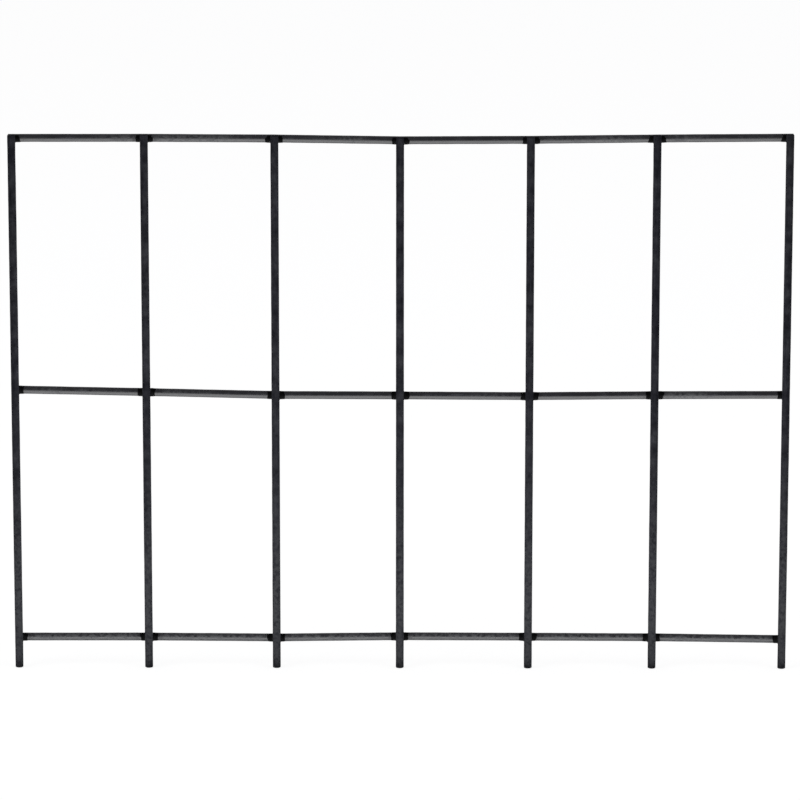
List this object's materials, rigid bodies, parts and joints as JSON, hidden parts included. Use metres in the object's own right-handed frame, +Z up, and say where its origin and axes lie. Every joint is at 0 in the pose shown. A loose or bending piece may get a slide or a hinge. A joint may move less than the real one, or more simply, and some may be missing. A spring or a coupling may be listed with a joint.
{
  "type": "welded mesh fence panel",
  "caption": "Flat panel of black coated welded wire mesh: straight uprights in front of horizontal rails, with short free feet below.",
  "frame": {"origin": "centre of the foot face of the middle upright wire", "axes": "+X to the right along the panel, +Y from its front to its back, +Z up along the uprights"},
  "size_m": [0.3093, 0.0058, 0.2165],
  "materials": {
    "wire_coat": "satin black vinyl coat over galvanised steel wire",
    "weld_coat": "dull black coat over the flash of the weld"
  },
  "bodies": {
    "root": {"upright_wire_1": "wire_coat", "upright_wire_2": "wire_coat", "upright_wire_3": "wire_coat", "upright_wire_4": "wire_coat", "upright_wire_5": "wire_coat", "upright_wire_6": "wire_coat", "upright_wire_7": "wire_coat", "top_rail_wire": "wire_coat", "middle_rail_wire": "wire_coat", "bottom_rail_wire": "wire_coat", "top_weld_1": "weld_coat", "top_weld_2": "weld_coat", "top_weld_3": "weld_coat", "top_weld_4": "weld_coat", "top_weld_5": "weld_coat", "top_weld_6": "weld_coat", "top_weld_7": "weld_coat", "middle_weld_1": "weld_coat", "middle_weld_2": "weld_coat", "middle_weld_3": "weld_coat", "middle_weld_4": "weld_coat", "middle_weld_5": "weld_coat", "middle_weld_6": "weld_coat", "middle_weld_7": "weld_coat", "bottom_weld_1": "weld_coat", "bottom_weld_2": "weld_coat", "bottom_weld_3": "weld_coat", "bottom_weld_4": "weld_coat", "bottom_weld_5": "weld_coat", "bottom_weld_6": "weld_coat", "bottom_weld_7": "weld_coat"}
  },
  "joints": []
}
